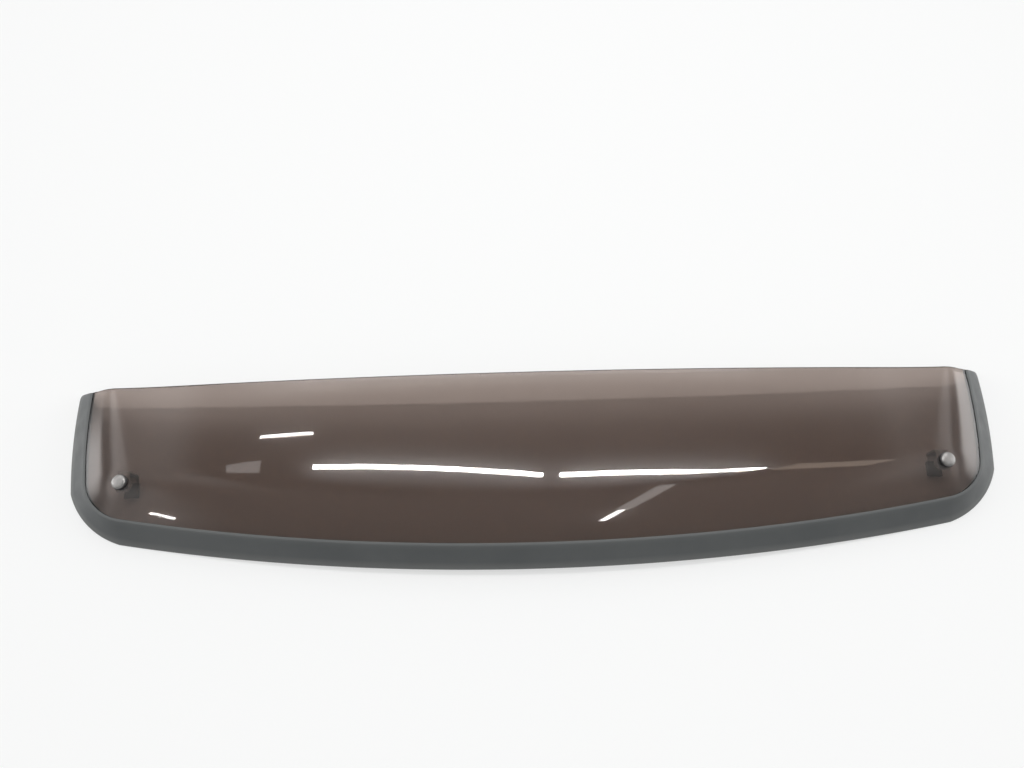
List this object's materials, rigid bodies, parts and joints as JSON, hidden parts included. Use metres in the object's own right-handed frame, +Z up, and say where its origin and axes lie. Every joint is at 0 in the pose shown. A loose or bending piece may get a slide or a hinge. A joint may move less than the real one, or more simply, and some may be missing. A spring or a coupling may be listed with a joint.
{
  "type": "sunroof wind deflector",
  "caption": "Wide low visor of smoked acrylic with a rubber seal round its front and ends, held to a sunroof by a screw clamp near each front corner.",
  "frame": {"origin": "middle of the footprint, on the surface that the seal's foot rests on", "axes": "+X to the right end, +Y to the rear where the panel is open, +Z up"},
  "size_m": [0.9, 0.1944, 0.0417],
  "materials": {
    "panel": "clear smoked brown acrylic, polished",
    "rubber": "smooth extruded rubber, satin",
    "washer_rubber": "plain",
    "screw_steel": "turned and plated",
    "clamp_steel": "zinc plated, dull"
  },
  "bodies": {
    "root": {"panel": "panel", "edge_seal": "rubber", "left_screw": "screw_steel", "left_head_washer": "washer_rubber", "left_spacer": "rubber", "left_clamp": "clamp_steel", "left_pad": "rubber", "left_lock_washer": "clamp_steel", "left_nut": "clamp_steel", "right_screw": "screw_steel", "right_head_washer": "washer_rubber", "right_spacer": "rubber", "right_clamp": "clamp_steel", "right_pad": "rubber", "right_lock_washer": "clamp_steel", "right_nut": "clamp_steel"}
  },
  "joints": []
}
